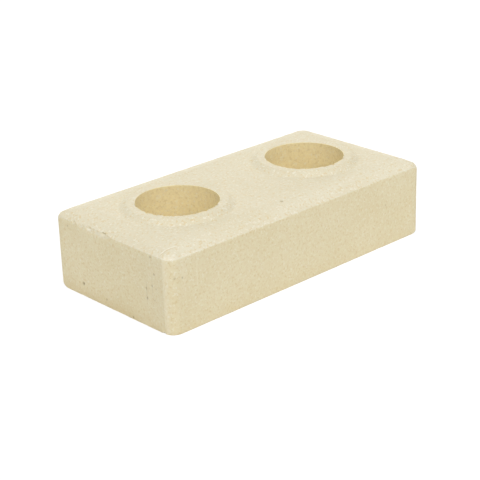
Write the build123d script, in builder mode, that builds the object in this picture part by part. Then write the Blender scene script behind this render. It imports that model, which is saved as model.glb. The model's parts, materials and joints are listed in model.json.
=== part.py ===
"""A pressed clay brick with two bores, each ringed by a locating collar on the upper bed.

Millimetres. The origin is at the centre of the lower bed, +X runs along the length, +Y across the
width and +Z up. The collars of one course sit in the sockets under the next.
"""
from build123d import *
import os

os.makedirs("parts", exist_ok=True)

# Body: edge_height is the height of the brick at its long edges
length = 230.0
width = 115.0
edge_height = 49.5
corner_radius = 7.5
lower_arris = 0.5
upper_arris_radius = 0.5

# Margin that slopes up from the long edges, then a gentler slope up to the level bed
margin_width = 6.0
margin_rise = 3.3
margin_corner_radius = 5.5
crown_width = 9.0
crown_rise = 2.2
crown_corner_radius = 3.0
crown_crest_radius = 12.0

# Bores, spaced so that they line up when the next course is laid in half bond over this joint
bond_joint = 2.0
bore_radius = 27.0
bore_arris = 1.0

# Collar round each bore: a flat lip, a sloping flank and a soft root
collar_height = 3.0
lip_width = 5.5
lip_arris_radius = 2.0
flank_run = 5.0
root_radius = 2.0

# Gaps round and over a collar that sits in the socket of the brick above it
socket_clearance = 1.0
socket_headroom = 1.5

# Cuts run past the faces that they open by this much
overrun = 5.0

margin_height = edge_height + margin_rise
bed_height = margin_height + crown_rise
lip_height = bed_height + collar_height
lip_radius = bore_radius + lip_width
flank_radius = lip_radius + flank_run
collar_foot_height = bed_height - collar_height
sloped_width = margin_width + crown_width
socket_height = collar_height + socket_headroom
bore_pitch = (length + bond_joint) / 2

# Collar, turned round the axis of its bore, with a foot that reaches down into the body
with BuildPart() as collar:
    with BuildSketch(Plane.XZ):
        with BuildLine():
            outside = FilletPolyline(
                (0, lip_height),
                (lip_radius, lip_height),
                (flank_radius, bed_height),
                (flank_radius + root_radius, bed_height),
                radius=[lip_arris_radius, root_radius],
            )
            Polyline(
                outside @ 1,
                (flank_radius + root_radius, collar_foot_height),
                (0, collar_foot_height),
                outside @ 0,
            )
        make_face()
    revolve(axis=Axis.Z)

# Space inside a bore, from the socket's rounded mouth up to the worn arris of the lip
with BuildPart() as bore:
    with BuildSketch(Plane.XZ):
        with BuildLine():
            mouth = FilletPolyline(
                (flank_radius + socket_clearance + root_radius, 0),
                (flank_radius + socket_clearance, 0),
                (lip_radius, socket_height),
                (bore_radius, socket_height),
                radius=[root_radius, 0],
            )
            Polyline(
                mouth @ 1,
                (bore_radius, lip_height - bore_arris),
                (bore_radius + bore_arris + overrun, lip_height + overrun),
                (0, lip_height + overrun),
                (0, -overrun),
                (flank_radius + socket_clearance + root_radius, -overrun),
                mouth @ 0,
            )
        make_face()
    revolve(axis=Axis.Z)

with BuildPart() as brick:
    # Body, with its upright corners rounded
    with BuildSketch() as outline:
        RectangleRounded(length, width, corner_radius)
    extrude(amount=edge_height)

    # Margin and crown, which slope in from the long edges to the bed
    with BuildSketch(Plane.XY.offset(edge_height)):
        add(outline.sketch)
    with BuildSketch(Plane.XY.offset(margin_height)) as margin_outline:
        RectangleRounded(length - 2 * margin_width, width - 2 * margin_width, margin_corner_radius)
    loft(ruled=True)
    with BuildSketch(Plane.XY.offset(margin_height)):
        add(margin_outline.sketch)
    with BuildSketch(Plane.XY.offset(bed_height)):
        RectangleRounded(length - 2 * sloped_width, width - 2 * sloped_width, crown_corner_radius)
    loft(ruled=True)
    fillet(brick.edges().group_by(Axis.Z)[-1], crown_crest_radius)

    # Arrises round the lower bed and at the foot of the margin
    chamfer(brick.edges().group_by(Axis.Z)[0], lower_arris)
    side_faces = brick.faces().filter_by(lambda face: face.bounding_box().size.Z > edge_height / 2)
    upper_arrises = side_faces.edges().filter_by(lambda edge: edge.bounding_box().min.Z > edge_height / 2)
    fillet(upper_arrises, upper_arris_radius)

    # Collars, bores and sockets
    with GridLocations(bore_pitch, 0, 2, 1):
        add(collar.part)
        add(bore.part, mode=Mode.SUBTRACT)

brick.part.label = "brick"
export_step(brick.part, "parts/brick.step")
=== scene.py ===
import json
from itertools import product
from math import asin, cos, pi, radians, sin, tan

import bmesh
import bpy
import numpy as np
from mathutils import Matrix, Vector


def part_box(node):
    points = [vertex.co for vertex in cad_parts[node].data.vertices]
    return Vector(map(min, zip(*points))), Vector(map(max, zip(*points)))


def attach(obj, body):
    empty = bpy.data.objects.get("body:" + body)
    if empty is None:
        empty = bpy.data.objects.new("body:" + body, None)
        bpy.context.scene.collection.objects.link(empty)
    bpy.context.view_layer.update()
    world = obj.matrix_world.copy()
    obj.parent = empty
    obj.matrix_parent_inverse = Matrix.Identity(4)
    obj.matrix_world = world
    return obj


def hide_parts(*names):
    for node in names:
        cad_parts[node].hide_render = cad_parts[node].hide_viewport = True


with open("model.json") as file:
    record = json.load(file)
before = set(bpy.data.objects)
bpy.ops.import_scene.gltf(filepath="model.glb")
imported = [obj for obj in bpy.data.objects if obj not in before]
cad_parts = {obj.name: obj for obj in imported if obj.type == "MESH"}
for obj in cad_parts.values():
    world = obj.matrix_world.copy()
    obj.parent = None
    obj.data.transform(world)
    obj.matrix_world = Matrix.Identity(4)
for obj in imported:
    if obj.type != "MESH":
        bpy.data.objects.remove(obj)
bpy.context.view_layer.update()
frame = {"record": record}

MM = 0.001

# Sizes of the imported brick, read from the frame
low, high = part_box("brick")
mounts = {mount["name"]: mount for mount in frame["record"]["mounts"]}
half_length = high.x
half_width = high.y
lip_height = high.z
bore_offset = mounts["bore_far"]["pos_m"][0]
bore_radius = mounts["bore_far"]["dims"]["r_mm"] * MM

# Sizes that the frame doesn't hold, the same as the part's
corner_radius = 7.5 * MM
margin_width = 6.0 * MM
margin_rise = 3.3 * MM
crown_width = 9.0 * MM
crown_rise = 2.2 * MM
crown_corner_radius = 3.0 * MM
crown_crest_radius = 12.0 * MM
collar_height = 3.0 * MM
lip_width = 5.5 * MM
lip_arris_radius = 2.0 * MM
flank_run = 5.0 * MM
root_radius = 2.0 * MM
socket_clearance = 1.0 * MM
socket_headroom = 1.5 * MM

bed_height = lip_height - collar_height
edge_height = bed_height - crown_rise - margin_rise
lip_radius = bore_radius + lip_width
flank_radius = lip_radius + flank_run
root_reach = flank_radius + root_radius
socket_depth = collar_height + socket_headroom
socket_reach = root_reach + socket_clearance

# Spacing of the mesh before it is thinned out where the clay is plain
column_spacing = 0.6 * MM
ring_spacing = 1.1 * MM
arris_steps = np.array([0.0, 0.3, 0.6, 0.9, 1.3, 1.8, 2.5]) * MM
bed_rings, side_rings, underside_rings = 26, 34, 12
triangle_limit = 195000
noise_cells = 48

# Pits in the near end, at their y, z, radius and depth
end_pits = [
    (29.7, 8.9, 1.3, 0.7), (-39.7, 47.9, 0.8, 0.5), (-42.6, 37.4, 0.8, 0.5), (-40.3, 29.1, 0.7, 0.4),
    (-34.6, 26.0, 0.8, 0.5), (-35.1, 19.4, 0.9, 0.5), (-44.0, 28.0, 0.6, 0.3), (-42.3, 20.0, 0.6, 0.3),
    (6.3, 5.0, 0.8, 0.4), (-20.0, 1.5, 0.9, 0.5), (42.5, 45.5, 0.7, 0.4),
]
# Pits in the front side, at their x, z, radius and depth
side_pits = [(-110.6, 37.5, 0.75, 0.5), (-105.0, 36.6, 0.8, 0.4), (78.0, 30.0, 0.6, 0.3)]
# Pit in the upper bed, at its x, y, radius and depth
bed_pits = [(-8.3, -44.5, 1.1, 0.8)]

# Seam of the mould beside the near corner, and the line that the press plate dragged on the bed there
seam_y = -50.2 * MM
drag_line = ((-112.5 * MM, -47.2 * MM), (-100 * MM, -49.5 * MM))

# Lengthwise, where the wear that only the near end has begins, and where that of its seam does
near_end_start = -0.9 * half_length
near_flat_start = -0.95 * half_length

# Reach of the bites out of the upper arris, and the side on which the mouths of the bores are most crumbled
bite_reach = 1.8 * MM
crumbled_way = (-0.67, -0.74)


# Shape

def noise(points, size, seed):
    """Smooth noise from -1 to 1, in lumps about size across."""
    table = np.random.default_rng(seed).uniform(-1, 1, (noise_cells, noise_cells, noise_cells))
    place = points / size + 100 * noise_cells
    cell = np.floor(place).astype(int)
    share = place - cell
    share = share * share * (3 - 2 * share)
    total = np.zeros(len(points))
    for corner in product((0, 1), repeat=3):
        x, y, z = ((cell + corner) % noise_cells).T
        total += np.prod(np.where(corner, share, 1 - share), axis=1) * table[x, y, z]
    return total


def ramp(values, start, end):
    """Smooth step from 0 at start to 1 at end."""
    share = np.clip((values - start) / (end - start), 0, 1)
    return share * share * (3 - 2 * share)


def along(start, end, spacing):
    """Points after start up to end, about spacing apart."""
    steps = max(1, round(np.linalg.norm(end - start) / spacing))
    return [start + (end - start) * step / steps for step in range(1, steps + 1)]


def section(points, radii, spacing):
    """Points along a section, with a radius for each of its inner corners."""
    points = [np.array(point) for point in points]
    trace = [points[0]]
    for before, corner, after, radius in zip(points, points[1:], points[2:], radii):
        back = (before - corner) / np.linalg.norm(before - corner)
        ahead = (after - corner) / np.linalg.norm(after - corner)
        half_angle = np.arccos(np.clip(back @ ahead, -1, 1)) / 2
        turn = pi - 2 * half_angle
        centre = corner + (back + ahead) / np.linalg.norm(back + ahead) * radius / sin(half_angle)
        start = corner + back * radius / tan(half_angle) - centre
        end = corner + ahead * radius / tan(half_angle) - centre
        trace += along(trace[-1], centre + start, spacing)
        if radius:
            for share in np.linspace(0, 1, max(3, round(radius * turn / spacing) + 1))[1:]:
                spoke = (start * sin(turn * (1 - share)) + end * sin(turn * share)) / sin(turn)
                trace.append(centre + spoke)
    return np.array(trace + along(trace[-1], points[-1], spacing))


def half_outline():
    """Plan of the +X half: round its front, end and back, then across the middle of the brick."""
    turn = np.linspace(-pi / 2, 0, 24)
    front = np.c_[np.cos(turn), np.sin(turn)] * corner_radius
    front += (half_length - corner_radius, corner_radius - half_width)
    path = np.vstack([[(0, -half_width)], front, front[::-1] * (1, -1), [(0, half_width)]])
    walk = np.r_[0, np.cumsum(np.linalg.norm(np.diff(path, axis=0), axis=1))]
    stops = np.linspace(0, walk[-1], round(walk[-1] / column_spacing) + 1)
    skin = np.c_[np.interp(stops, walk, path[:, 0]), np.interp(stops, walk, path[:, 1])]
    across = np.linspace(half_width, -half_width, round(2 * half_width / column_spacing) + 1)[1:-1]
    return np.vstack([skin, np.c_[0 * across, across]]), len(skin)


def half_brick():
    """Points and faces of the +X half, in rings down its skin, under it and up through its bore."""
    outline, skin_count = half_outline()
    count = len(outline)
    hub = np.array([bore_offset, 0])
    ray = outline - hub
    ray = ray / np.linalg.norm(ray, axis=1)[:, None]

    def level(plan, height):
        """A ring with this plan, at one height or at a height for each point."""
        return np.c_[plan, np.zeros(count) + height]

    def inward(reach, share):
        """Plan of a ring that lies this share of the way from the outline to a circle round the bore."""
        return outline + (hub + ray * reach - outline) * share

    apart = half_width - root_reach
    first_shares, last_step = arris_steps[:-1] / apart, arris_steps[-1]
    upper_shares = np.r_[first_shares, np.linspace(last_step / apart, 1, bed_rings)]
    lower_shares = np.r_[first_shares, np.linspace(last_step / apart, 1, underside_rings)]
    drops = np.r_[arris_steps[:-1], np.linspace(last_step, edge_height - last_step, side_rings)]
    drops = np.r_[drops, edge_height - arris_steps[-2::-1]]
    socket = section(
        [
            (socket_reach, 0), (flank_radius + socket_clearance, 0),
            (lip_radius, socket_depth), (bore_radius, socket_depth),
        ],
        [root_radius, 0], ring_spacing)
    wall_top = lip_height - last_step
    wall = section([(bore_radius, socket_depth), (bore_radius, wall_top)], [], 1.5 * ring_spacing)
    wall = np.vstack([wall, [(bore_radius, lip_height - step) for step in arris_steps[-2::-1]]])
    collar = section(
        [
            (bore_radius + last_step, lip_height), (lip_radius, lip_height),
            (flank_radius, bed_height), (root_reach, bed_height),
        ],
        [lip_arris_radius, root_radius], ring_spacing / 2)
    collar = np.vstack([[(bore_radius + step, lip_height) for step in arris_steps[1:-1]], collar])

    beds = [inward(root_reach, share) for share in upper_shares[::-1]]
    rings = [level(plan, upper_surface(margin_inset(plan))) for plan in beds]
    skin_first = len(rings) - 1
    rings += [level(outline, edge_height - drop) for drop in drops[1:-1]]
    skin_last = len(rings)
    rings += [level(inward(socket_reach, share), 0) for share in lower_shares]
    turned = np.vstack([socket[1:], wall[1:], collar[:-1]])
    rings += [level(hub + ray * reach, height) for reach, height in turned]

    faces = []
    for ring in range(len(rings)):
        columns = np.arange(skin_count - 1 if skin_first <= ring < skin_last else count)
        beside = (columns + 1) % count
        upper, lower = ring * count, (ring + 1) % len(rings) * count
        faces.append(np.c_[upper + columns, lower + columns, lower + beside, upper + beside])
    return np.vstack(rings), np.vstack(faces)


def sound_brick():
    """The whole brick as the press leaves it, in one closed mesh with fine faces round each pit."""
    points, faces = half_brick()
    points = np.vstack([points, points * (-1, 1, 1)])
    faces = np.vstack([faces, faces[:, ::-1] + len(points) // 2])
    mesh = bpy.data.meshes.new("fired_brick")
    mesh.from_pydata(points.tolist(), [], faces.tolist())
    shell = bmesh.new()
    shell.from_mesh(mesh)
    bmesh.ops.remove_doubles(shell, verts=shell.verts[:], dist=0.001 * MM)
    stray = [vertex for vertex in shell.verts if not vertex.link_faces]
    bmesh.ops.delete(shell, geom=stray, context="VERTS")
    spots = np.array([vertex.co for vertex in shell.verts])
    near = np.zeros(len(spots), bool)
    for place, normal, radius, depth in pits:
        near |= np.linalg.norm(spots - place, axis=1) < 2 * radius + 0.5 * MM
    edges = [edge for edge in shell.edges if near[edge.verts[0].index]]
    bmesh.ops.subdivide_edges(shell, edges=edges, cuts=1, use_grid_fill=True)
    shell.normal_update()
    shell.to_mesh(mesh)
    shell.free()
    return mesh


def plan_inset(points):
    """How far each point lies inside the outline, and the way out from it, both in plan."""
    beyond = np.abs(points[:, :2]) - (half_length - corner_radius, half_width - corner_radius)
    outside = np.maximum(beyond, 0)
    reach = np.linalg.norm(outside, axis=1)
    inset = corner_radius - reach - np.minimum(beyond.max(axis=1), 0)
    straight = np.eye(2)[beyond.argmax(axis=1)]
    out = np.where((reach > 1e-9)[:, None], outside / np.maximum(reach, 1e-9)[:, None], straight)
    return inset, out * np.sign(points[:, :2])


def margin_inset(points):
    """How far in the level lines of the sloping margin lie that pass through the points."""
    sharpen = (corner_radius - crown_corner_radius) / (margin_width + crown_width)
    beyond = np.abs(points[:, :2]) - (half_length - corner_radius, half_width - corner_radius)
    straight = corner_radius - beyond.max(axis=1)
    square = 2 * (1 - sharpen) ** 2 - sharpen ** 2
    linear = 2 * (1 - sharpen) * beyond.sum(axis=1) + 2 * sharpen * corner_radius
    constant = (beyond ** 2).sum(axis=1) - corner_radius ** 2
    at_corner = (np.sqrt(np.maximum(linear ** 2 - 4 * square * constant, 0)) - linear) / (2 * square)
    return np.where(beyond.min(axis=1) + (1 - sharpen) * at_corner > 0, at_corner, straight)


def upper_surface(inset):
    """Height of the margin, the crown and the level bed inside them."""
    slope = np.arctan2(crown_rise, crown_width)
    crest = margin_width + crown_width + crown_crest_radius * tan(slope / 2)
    arc = np.clip(crest - inset, 0, crown_crest_radius * sin(slope))
    bend = crown_crest_radius - np.sqrt(crown_crest_radius ** 2 - arc ** 2)
    crown = bed_height - bend - tan(slope) * np.maximum(crest - inset - arc, 0)
    return np.minimum(crown, edge_height + margin_rise * inset / margin_width)


def worn(across, down, radius):
    """Rounds an arris: a point is across from it on one face or down from it on the other."""
    share = np.clip((across + down) / radius, 0, 1)
    turn = pi / 4 * (1 - share)
    rim = across + down < radius
    on_top = across >= down
    flat, deep = radius * (1 - np.sin(turn)), radius * (1 - np.cos(turn))
    new_across = np.where(rim, np.where(on_top, flat, deep), across)
    new_down = np.where(rim, np.where(on_top, deep, flat), down)
    return new_across, new_down


def beside_line(points, start, end):
    """How far points lie to the left of a line in plan, and their share of the way along it."""
    way = np.subtract(end, start)
    length = np.linalg.norm(way)
    offset = points[:, :2] - start
    return (offset[:, 1] * way[0] - offset[:, 0] * way[1]) / length, offset @ way / length ** 2


def corner_wear(points, x, y):
    """1 at one of the brick's four corners in plan, falling to 0 where its sides run straight."""
    away = np.linalg.norm(points[:, :2] - (x * half_length, y * half_width), axis=1)
    return ramp(away, 10 * MM, 4 * MM)


def upper_arris(points):
    """Radius of the upper arris: sharp, and worn round at three corners."""
    chips = 0.15 * ramp(noise(points * (1, 1, 0), 3.2 * MM, 13), 0.1, 0.6)
    worn_corners = 2.1 * corner_wear(points, -1, 1) + 2.4 * corner_wear(points, 1, -1)
    worn_corners += 1.2 * corner_wear(points, 1, 1)
    return (0.25 + chips + worn_corners) * MM


def arris_bites(points):
    """Depth of the crisp bites out of the upper arris, deepest along the left of the near end."""
    plan = points * (1, 1, 0)
    bites = 0.7 * ramp(noise(plan, 3.0 * MM, 11), 0.05, 0.25)
    bites += 0.5 * ramp(noise(plan, 1.4 * MM, 12), 0.1, 0.4)
    near_end = points[:, 0] < near_end_start
    torn_left = 1.2 * ramp(points[:, 1], -4 * MM, 4 * MM) * ramp(points[:, 1], 44 * MM, 36 * MM)
    torn = 0.07 + near_end * (0.2 + torn_left)
    return bites * torn * (1 - corner_wear(points, -1, 1) - corner_wear(points, 1, -1)) * MM


def lower_arris(points):
    """Radius of the lower arris: sharp, and worn round at two corners."""
    chips = 0.25 * ramp(noise(points * (1, 1, 0), 4 * MM, 21), 0.2, 0.9)
    return (0.3 + chips + 2.2 * corner_wear(points, -1, 1) + 1.0 * corner_wear(points, 1, -1)) * MM


def weather(mesh):
    """Moves the sound brick's points to the fired and handled brick's."""
    count = len(mesh.vertices)
    points = np.empty(count * 3)
    normals = np.empty(count * 3)
    mesh.vertices.foreach_get("co", points)
    mesh.vertex_normals.foreach_get("vector", normals)
    points, normals = points.reshape(-1, 3).copy(), normals.reshape(-1, 3).copy()
    sound = points.copy()

    # Upper and lower arris
    inset, out = plan_inset(points)
    for surface, side, radius in (
        (upper_surface, 1, upper_arris(sound)),
        (np.zeros_like, -1, lower_arris(sound)),
    ):
        down = side * (surface(inset) - points[:, 2])
        rim = (inset + np.abs(down) < radius) & (down > -1e-7)
        across, deep = worn(np.maximum(inset, 0), np.maximum(down, 0), radius)
        points[rim, :2] -= (out * (across - inset)[:, None])[rim]
        points[rim, 2] = (surface(across) - side * deep)[rim]

    # Bites out of the upper arris
    down = np.maximum(upper_surface(inset) - sound[:, 2], 0)
    shift = arris_bites(sound) * np.clip(1 - (np.maximum(inset, 0) + down) / bite_reach, 0, 1)
    points[:, :2] -= out * shift[:, None]
    points[:, 2] += np.where(down < 0.001 * MM, upper_surface(inset + shift) - upper_surface(inset), 0)

    # Mouths of the bores
    for centre in (-bore_offset, bore_offset):
        spoke = sound[:, :2] - (centre, 0)
        reach = np.linalg.norm(spoke, axis=1)
        spoke /= reach[:, None]
        facing = ramp(spoke @ crumbled_way, -0.3, 0.5)
        plan = sound * (1, 1, 0)
        crumbled = ramp(noise(plan, 1.3 * MM, 31), 0.15, 0.6)
        crumbled += 0.5 * ramp(noise(plan, 0.7 * MM, 32), 0.15, 0.6)
        radius = (0.1 + crumbled * (0.3 + 1.9 * facing)) * MM
        across, down = reach - bore_radius, lip_height - sound[:, 2]
        rim = np.abs(across) + np.abs(down) < radius
        new_across, new_down = worn(np.maximum(across, 0), np.maximum(down, 0), radius)
        points[rim, :2] += (spoke * (new_across - across)[:, None])[rim]
        points[rim, 2] -= (new_down - down)[rim]

    # Soft unevenness everywhere, and coarser open grain
    rise = 0.05 * noise(sound, 9 * MM, 41) + 0.03 * noise(sound, 3.2 * MM, 42) - 0.1
    rough = open_grain(sound)
    rise -= rough * 0.16 * np.abs(noise(sound, 1.3 * MM, 43))
    points += normals * (rise * MM)[:, None]

    # Seam of the mould beside the near corner, with a chip at its foot
    past_seam = sound[:, 1] - seam_y
    on_flat = sound[:, 0] < near_flat_start
    seam = on_flat * ramp(np.abs(past_seam), 0.7 * MM, 0.1 * MM)
    seam *= ramp(sound[:, 2], edge_height, edge_height - 3 * MM)
    chip = on_flat * ramp(sound[:, 2], 7 * MM, 1 * MM)
    chip *= ramp(np.abs(past_seam - 0.8 * MM), 2.2 * MM, 0.4 * MM)
    points -= normals * (0.22 * seam + 0.5 * chip)[:, None] * MM

    # Groove with a raised lip on the bed beside that corner, where the press plate dragged the clay
    off_line, share = beside_line(sound, *drag_line)
    on_top = sound[:, 2] > edge_height - 0.1 * MM
    groove = ramp(np.abs(off_line), 0.7 * MM, 0.1 * MM)
    groove -= 0.5 * ramp(np.abs(off_line - 1.1 * MM), 0.8 * MM, 0.1 * MM)
    groove *= on_top * ramp(share, -0.05, 0.1) * ramp(share, 1.05, 0.8)
    points[:, 2] -= 0.2 * groove * MM

    # Pits
    for place, normal, radius, depth in pits:
        away = np.linalg.norm(sound - place, axis=1) / (radius * (1 + 0.25 * noise(sound, 0.7 * MM, 51)))
        points -= np.array(normal) * (depth * (1 - np.clip(away, 0, 1) ** 2) ** 1.5)[:, None]

    points = np.clip(points, low, high)
    mesh.vertices.foreach_set("co", points.ravel())
    mesh.update()


def open_grain(points):
    """Share of open grain: on the collars' flanks, the margin, the near corner and in the bores."""
    # Millimetres from the bore's axis: the wall lies at 27, the lip's rim at 32.5, the flank's foot at 37.5
    reach = bore_reach(points) / MM
    flank = ramp(reach, 31.5, 33.5) * ramp(reach, 40.5, 37.5) * (points[:, 2] > bed_height - 0.1 * MM)
    slope = 0.5 * ramp(margin_inset(points), 12 * MM, 5.5 * MM) * (points[:, 2] > edge_height - MM)
    wall = 0.8 * ramp(reach, 27.5, 27.05)
    corner = 0.35 * corner_wear(points, -1, -1) * (points[:, 2] < edge_height)
    return np.max([flank, slope, wall, corner], axis=0)


def bore_reach(points):
    """How far points lie from the nearer bore's axis."""
    return np.linalg.norm(np.c_[np.abs(points[:, 0]) - bore_offset, points[:, 1]], axis=1)


def thin_out(piece, limit):
    """Collapses plain areas until the piece has no more triangles than the limit."""
    count = sum(len(face.vertices) - 2 for face in piece.data.polygons)
    modifier = piece.modifiers.new("thin_out", "DECIMATE")
    modifier.ratio = min(1, limit / count)
    view = bpy.context.evaluated_depsgraph_get()
    mesh = bpy.data.meshes.new_from_object(piece.evaluated_get(view))
    piece.modifiers.clear()
    piece.data = mesh


def paint(mesh):
    """Marks pits with their painted shade, grain, bores, the near corner's scuff with the pale front arris,
    and the margin for its painted light, on the finished mesh, for the clay's colours.
    """
    points = np.empty(len(mesh.vertices) * 3)
    mesh.vertices.foreach_get("co", points)
    points = points.reshape(-1, 3)
    reach = bore_reach(points)
    bore = ramp(reach, bore_radius + 0.6 * MM, bore_radius + 0.2 * MM)
    # Painted shade in the pits, darker the deeper the pit
    soil = np.zeros(len(points))
    for place, normal, radius, depth in pits:
        away = np.linalg.norm(points - place, axis=1) / radius
        soil = np.maximum(soil, ramp(away, 1.15, 0.5) * min(1, depth / (0.6 * MM)))
    inset, out = plan_inset(points)
    from_corner = np.linalg.norm(points[:, :2] + (half_length, half_width), axis=1)
    # A paler line along the front upper arris near the near corner
    front_arris = ramp(inset, 1.4 * MM, 0.5 * MM) * (out[:, 1] < -0.5)
    pale_front_arris = 0.8 * front_arris * ramp(from_corner, 48 * MM, 20 * MM)
    scuffed = np.maximum(corner_wear(points, -1, -1), pale_front_arris)
    scuffed *= ramp(points[:, 2], edge_height - 0.3 * MM, edge_height + 0.2 * MM)
    # Painted light on the margin's slopes, weaker on the near end
    margin = ramp(margin_inset(points), 17 * MM, 7 * MM) * np.where(points[:, 0] < near_end_start, 0.4, 1)
    marks = {
        "soil": soil, "open_grain": open_grain(points), "bore": bore, "scuffed": scuffed, "margin": margin}
    for name, values in marks.items():
        mesh.attributes.new(name, "FLOAT", "POINT").data.foreach_set("value", values)


# Each pit's place, the way out of the clay there, its radius and its depth
pits = []
for y, z, radius, depth in end_pits:
    pits.append(((-half_length, y * MM, z * MM), (-1, 0, 0), radius * MM, depth * MM))
for x, z, radius, depth in side_pits:
    past_flat = max(0, abs(x) * MM - half_length + corner_radius)
    turn = asin(past_flat / corner_radius) * (1 if x > 0 else -1)
    sagitta = corner_radius * (1 - cos(turn))
    place = (x * MM, sagitta - half_width, z * MM)
    pits.append((place, (sin(turn), -cos(turn), 0), radius * MM, depth * MM))
for x, y, radius, depth in bed_pits:
    height = upper_surface(margin_inset(np.array([[x, y]]) * MM))[0]
    pits.append(((x * MM, y * MM, height), (0, 0, 1), radius * MM, depth * MM))

piece = bpy.data.objects.new("fired_brick", sound_brick())
bpy.context.scene.collection.objects.link(piece)
weather(piece.data)
thin_out(piece, triangle_limit)
piece.data.shade_smooth()
paint(piece.data)


# Materials

class Wire:
    """An output socket that Python's operators feed into Math nodes."""

    def __init__(self, finish, socket):
        self.finish = finish
        self.socket = socket

    def maths(self, operation, first, second):
        """A Math node on two values."""
        return self.finish.node("ShaderNodeMath", {"operation": operation}, {0: first, 1: second})

    def __add__(self, other):
        return self.maths("ADD", self, other)

    def __radd__(self, other):
        return self.maths("ADD", other, self)

    def __sub__(self, other):
        return self.maths("SUBTRACT", self, other)

    def __rsub__(self, other):
        return self.maths("SUBTRACT", other, self)

    def __mul__(self, other):
        return self.maths("MULTIPLY", self, other)

    def __rmul__(self, other):
        return self.maths("MULTIPLY", other, self)


class Finish:
    """A material that is put together node by node."""

    def __init__(self, name):
        self.material = bpy.data.materials.new(name)
        self.material.use_nodes = True
        self.tree = self.material.node_tree
        self.tree.nodes.clear()

    def node(self, kind, settings=None, sockets=None, output=0):
        """Adds a node, sets it up, then gives its sockets values or links."""
        made = self.tree.nodes.new(kind)
        for name, value in (settings or {}).items():
            setattr(made, name, value)
        for name, value in (sockets or {}).items():
            if isinstance(value, Wire):
                self.tree.links.new(value.socket, made.inputs[name])
            else:
                made.inputs[name].default_value = value
        return Wire(self, made.outputs[output]) if made.outputs else made

    def step(self, value, start, end):
        """Smooth step of a value from 0 at start to 1 at end."""
        return self.node(
            "ShaderNodeMapRange", {"interpolation_type": "SMOOTHSTEP"},
            {"Value": value, "From Min": start, "From Max": end})

    def band(self, value, middle, reach):
        """1 where a value is near the middle, falling to 0 at this reach from it."""
        away = self.node("ShaderNodeMath", {"operation": "ABSOLUTE"}, {0: value - middle})
        return self.step(away, reach, 0.25 * reach)

    def cloud(self, size, detail=2.0, seed=0.0):
        """Noise from 0 to 1 in lumps about size across, in metres."""
        place = self.node("ShaderNodeTexCoord", output="Object")
        place = self.node(
            "ShaderNodeMapping", {"vector_type": "POINT"}, {"Vector": place, "Location": [seed] * 3})
        return self.node("ShaderNodeTexNoise", {}, {"Vector": place, "Scale": 0.5 / size, "Detail": detail})

    def flecks(self, size, level, seed):
        """Irregular spots about size across, where noise rises above this level."""
        return self.step(self.cloud(size, 1.0, seed), level, level + 0.08)

    def blend(self, factor, first, second, mode="MIX"):
        """Mix of two colours."""
        settings = {"data_type": "RGBA", "blend_type": mode}
        return self.node("ShaderNodeMix", settings, {0: factor, 6: first, 7: second}, 2)

    def attribute(self, name):
        """One of the marks on the mesh."""
        return self.node("ShaderNodeAttribute", {"attribute_name": name}, output="Fac")


# Colours of the clay, its grains and its marks, and of the light and shade painted on it
tints = {
    "skin": (0.824, 0.745, 0.515, 1),
    "pressed_bed": (0.755, 0.70, 0.535, 1),
    # Painted light: the margin's slopes paler
    "margin": (0.85, 0.80, 0.64, 1),
    # Painted light: the bore walls brighter and more saturated, for the light bounced inside them
    "bore": (0.935, 0.812, 0.49, 1),
    "clouds": (0.88, 0.84, 0.72, 1),
    "mottle": (0.74, 0.58, 0.33, 1),
    "tan_grains": (0.70, 0.55, 0.27, 1),
    "pale_grains": (0.93, 0.90, 0.80, 1),
    # Painted shade on the near end before the seam, and painted light on the corner past it
    "grey_skin": (0.72, 0.665, 0.50, 1),
    "past_seam": (0.91, 0.84, 0.64, 1),
    "foot": (0.68, 0.52, 0.26, 1),
    "dark_streak": (0.50, 0.42, 0.27, 1),
    "pale_streak": (0.90, 0.84, 0.66, 1),
    # Pale scuffs at the near corner, and a paler line along the front arris
    "scuffs": (0.92, 0.87, 0.74, 1),
    # Painted shadow in the dragged groove, and a painted highlight on its lip
    "groove": (0.60, 0.44, 0.20, 1),
    "groove_lip": (0.95, 0.92, 0.82, 1),
    # Painted shade in the pits
    "soil": (0.33, 0.25, 0.12, 1),
}


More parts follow.
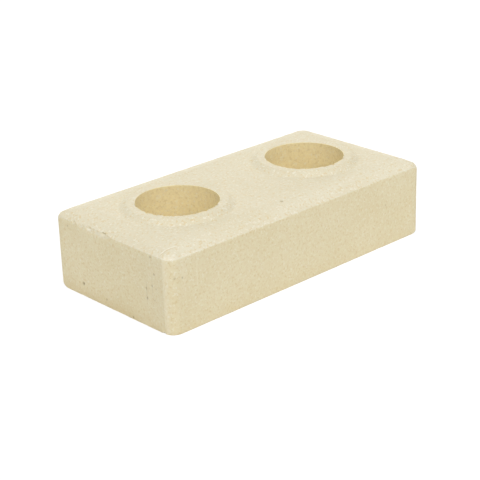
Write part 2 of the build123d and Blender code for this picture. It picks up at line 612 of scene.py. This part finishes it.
def fired_clay():
    """Buff clay, paler on its pressed bed, with pale and tan grains, the marks of the press, and painted
    light and shade on its margin, seam, groove, pits and bores.
    """
    clay = Finish("fired_clay")
    normal = clay.node("ShaderNodeNewGeometry", output="Normal")
    facing_up = clay.node("ShaderNodeSeparateXYZ", {}, {"Vector": normal}, 2)
    place = clay.node("ShaderNodeNewGeometry", output="Position")
    lengthwise, crosswise, height = (
        clay.node("ShaderNodeSeparateXYZ", {}, {"Vector": place}, axis) for axis in range(3))
    on_bed = clay.step(facing_up, 0.15, 0.5)

    # Painted light on the margin's slopes
    bed = clay.blend(0.28 * clay.attribute("margin"), tints["pressed_bed"], tints["margin"])
    colour = clay.blend(on_bed, tints["skin"], bed)
    # Painted light: the bore walls brighter and more saturated, for the light bounced inside them
    in_bore = clay.attribute("bore")
    colour = clay.blend(in_bore, colour, tints["bore"])

    # Soft clouds, then a fine mottle
    clouds = clay.step(clay.cloud(16 * MM, seed=3), 0.35, 0.75)
    colour = clay.blend(0.25 * clouds, colour, tints["clouds"], "MULTIPLY")
    mottle = clay.step(clay.cloud(1.0 * MM, 3, 5), 0.35, 0.65)
    colour = clay.blend(mottle * (0.25 - 0.09 * on_bed), colour, tints["mottle"])

    # Grains
    grain_size = 0.8 * MM
    coarse_grain = clay.attribute("open_grain")
    tan_grains = clay.flecks(grain_size, 0.58, 11) * (0.44 + 0.16 * coarse_grain - 0.2 * in_bore)
    colour = clay.blend(tan_grains, colour, tints["tan_grains"])
    pale_grains = clay.flecks(grain_size, 0.59, 12) * (0.3 + 0.14 * coarse_grain - 0.1 * in_bore)
    colour = clay.blend(pale_grains, colour, tints["pale_grains"])

    # Painted shade on the near end up to the seam, painted light on the corner just past it, warmer skin
    # along the foot
    on_end = clay.step(lengthwise, near_end_start, -0.97 * half_length)
    seam_shade = on_end * clay.step(crosswise, -20 * MM, -46 * MM)
    seam_shade = seam_shade * clay.step(crosswise, seam_y - 0.5 * MM, seam_y + 0.3 * MM)
    colour = clay.blend(0.12 * seam_shade, colour, tints["grey_skin"])
    past_seam = on_end * clay.step(crosswise, seam_y, seam_y - 0.4 * MM)
    past_seam = past_seam * clay.step(crosswise, seam_y - 5 * MM, seam_y - 1 * MM)
    colour = clay.blend(0.42 * past_seam * (1 - on_bed), colour, tints["past_seam"])
    foot = clay.step(height, 11 * MM, 0.5 * MM) * clay.step(clay.cloud(9 * MM, 3, 9), 0.2, 0.6)
    colour = clay.blend(0.22 * foot * (0.4 + on_end), colour, tints["foot"])

    # Streaks that the mould drew down the near end and the front side
    for y, z, strength in ((-35.0, 23.5, 0.35), (-40.5, 30, 0.2)):
        streak = on_end * clay.band(crosswise, y * MM, 0.5 * MM) * clay.band(height, z * MM, 9 * MM)
        colour = clay.blend(strength * streak, colour, tints["dark_streak"])
    on_front = clay.step(crosswise, -0.9 * half_width, -0.97 * half_width)
    for x, width in ((-104.0, 2.6), (-93.3, 0.9)):
        streak = on_front * clay.band(lengthwise, x * MM, width * MM) * clay.step(height, 18 * MM, 34 * MM)
        colour = clay.blend(0.2 * streak * (1 - on_bed), colour, tints["pale_streak"])

    # Scuffed corner with a paler line along the front arris, and the groove that the press plate dragged
    # beside it, with painted shadow in it and a painted highlight on its lip
    colour = clay.blend(0.36 * clay.attribute("scuffed"), colour, tints["scuffs"])
    start, end = drag_line
    turn = np.arctan2(end[1] - start[1], end[0] - start[0])
    off_line = (crosswise - start[1]) * cos(turn) - (lengthwise - start[0]) * sin(turn)
    dragged = clay.step(lengthwise, start[0] - 1 * MM, start[0] + 1 * MM)
    dragged = dragged * clay.step(lengthwise, end[0] + 1 * MM, end[0] - 6 * MM)
    dragged = dragged * on_bed
    # Painted shadow in the groove and a painted highlight on its lip
    groove = dragged * clay.band(off_line, 0.0, 0.5 * MM)
    colour = clay.blend(0.4 * groove, colour, tints["groove"])
    groove_lip = dragged * clay.band(off_line, 0.8 * MM, 0.6 * MM)
    colour = clay.blend(0.4 * groove_lip, colour, tints["groove_lip"])

    # Painted shade in the pits, darker the deeper the pit
    colour = clay.blend(0.8 * clay.attribute("soil"), colour, tints["soil"])

    # Relief of the grain, with the groove in it
    relief_depth = 0.12 * MM
    fine = clay.cloud(0.7 * MM, 4, 6)
    coarse = clay.cloud(1.5 * MM, 2, 7)
    rise = fine + coarse * (0.5 + coarse_grain) - 0.8 * groove
    relief = clay.node("ShaderNodeBump", {}, {"Strength": 0.55, "Distance": relief_depth, "Height": rise})
    shader = clay.node("ShaderNodeBsdfPrincipled", {}, {
        "Base Color": colour, "Roughness": 0.92, "IOR": 1.5, "Specular IOR Level": 0.25, "Normal": relief})
    clay.node("ShaderNodeOutputMaterial", {}, {"Surface": shader})
    return clay.material


piece.data.materials.clear()
piece.data.materials.append(fired_clay())
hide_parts("brick")
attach(piece, "root")


# Studio

floor_reach = 4.0
floor_glow = 0.78
room_level = 0.27
# Lamps, at their azimuth and elevation in degrees, with their level and their width in degrees
lamps = {
    "front_lamp": (-125, 59, 0.42, 70),
    "left_lamp": (171, 41, 0.17, 60),
    "right_lamp": (-85, 51, 0.26, 60),
    "back_lamp": (54, 11, 0.46, 35),
}
# The photo's viewpoint: its place, its angles in degrees, and its lens and sensor in millimetres
viewpoint = (-0.59284, -0.64101, 0.3786)
view_azimuth, view_elevation, view_roll = -132.533, 22.759, -1.869
lens_length, sensor_width = 104.65, 36


def seen_directly(finish):
    """1 for rays that look straight at a surface, in a mirror or through glass too."""
    camera = finish.node("ShaderNodeLightPath", output="Is Camera Ray")
    glossy = finish.node("ShaderNodeLightPath", output="Is Glossy Ray")
    through = finish.node("ShaderNodeLightPath", output="Is Transmission Ray")
    return finish.node("ShaderNodeClamp", {}, {"Value": camera + glossy + through})


def white_floor():
    """A floor that reads white and keeps a faint shadow."""
    paper = Finish("white_paper")
    seen = seen_directly(paper)
    plain = paper.node("ShaderNodeBsdfDiffuse", {}, {"Color": (0.8, 0.8, 0.8, 1)})
    dim = paper.node("ShaderNodeBsdfDiffuse", {}, {"Color": (0.3, 0.3, 0.3, 1)})
    glow = paper.node("ShaderNodeEmission", {}, {"Color": (1, 1, 1, 1), "Strength": floor_glow})
    lit = paper.node("ShaderNodeAddShader", {}, {0: dim, 1: glow})
    surface = paper.node("ShaderNodeMixShader", {}, {0: seen, 1: plain, 2: lit})
    paper.node("ShaderNodeOutputMaterial", {}, {"Surface": surface})
    mesh = bpy.data.meshes.new("floor")
    corners = [(x * floor_reach, y * floor_reach, 0) for x, y in ((-1, -1), (1, -1), (1, 1), (-1, 1))]
    mesh.from_pydata(corners, [], [(0, 1, 2, 3)])
    mesh.materials.append(paper.material)
    floor = bpy.data.objects.new("floor", mesh)
    bpy.context.scene.collection.objects.link(floor)


class Sky(Finish):
    """The light from all round, put together in the same way."""

    def __init__(self, name):
        self.world = bpy.data.worlds.new(name)
        self.world.use_nodes = True
        self.tree = self.world.node_tree
        self.tree.nodes.clear()


def studio_light():
    """Soft light from all round, with a wide lamp high in front and three lower ones."""
    sky = Sky("studio")
    seen = seen_directly(sky)
    room = sky.node("ShaderNodeBackground", {}, {"Color": (1, 1, 1, 1), "Strength": room_level})
    white = sky.node("ShaderNodeBackground", {}, {"Color": (1, 1, 1, 1), "Strength": 1.0})
    surface = sky.node("ShaderNodeMixShader", {}, {0: seen, 1: room, 2: white})
    sky.node("ShaderNodeOutputWorld", {}, {"Surface": surface})
    bpy.context.scene.world = sky.world

    for name, (azimuth, elevation, level, width) in lamps.items():
        lamp = bpy.data.lights.new(name, "SUN")
        lamp.energy = level * pi
        lamp.angle = radians(width)
        stand = bpy.data.objects.new(name, lamp)
        stand.rotation_euler = direction(azimuth, elevation).to_track_quat("Z", "Y").to_euler()
        bpy.context.scene.collection.objects.link(stand)


def direction(azimuth, elevation):
    """Unit vector towards this azimuth and elevation, in degrees."""
    turn, climb = radians(azimuth), radians(elevation)
    return Vector((cos(turn) * cos(climb), sin(turn) * cos(climb), sin(climb)))


def camera():
    """The photo's viewpoint."""
    roll = radians(view_roll)
    back = direction(view_azimuth, view_elevation)
    level = direction(view_azimuth + 90, 0)
    rise = back.cross(level)
    right = level * cos(roll) + rise * sin(roll)
    up = rise * cos(roll) - level * sin(roll)
    lens = bpy.data.cameras.new("camera")
    lens.lens = lens_length
    lens.sensor_width = sensor_width
    viewer = bpy.data.objects.new("camera", lens)
    turned = Matrix((right, up, back)).transposed().to_4x4()
    viewer.matrix_world = Matrix.Translation(viewpoint) @ turned
    bpy.context.scene.collection.objects.link(viewer)
    bpy.context.scene.camera = viewer


white_floor()
studio_light()
camera()
bpy.context.scene.view_settings.view_transform = "Standard"

print("triangles", sum(len(face.vertices) - 2 for face in piece.data.polygons))
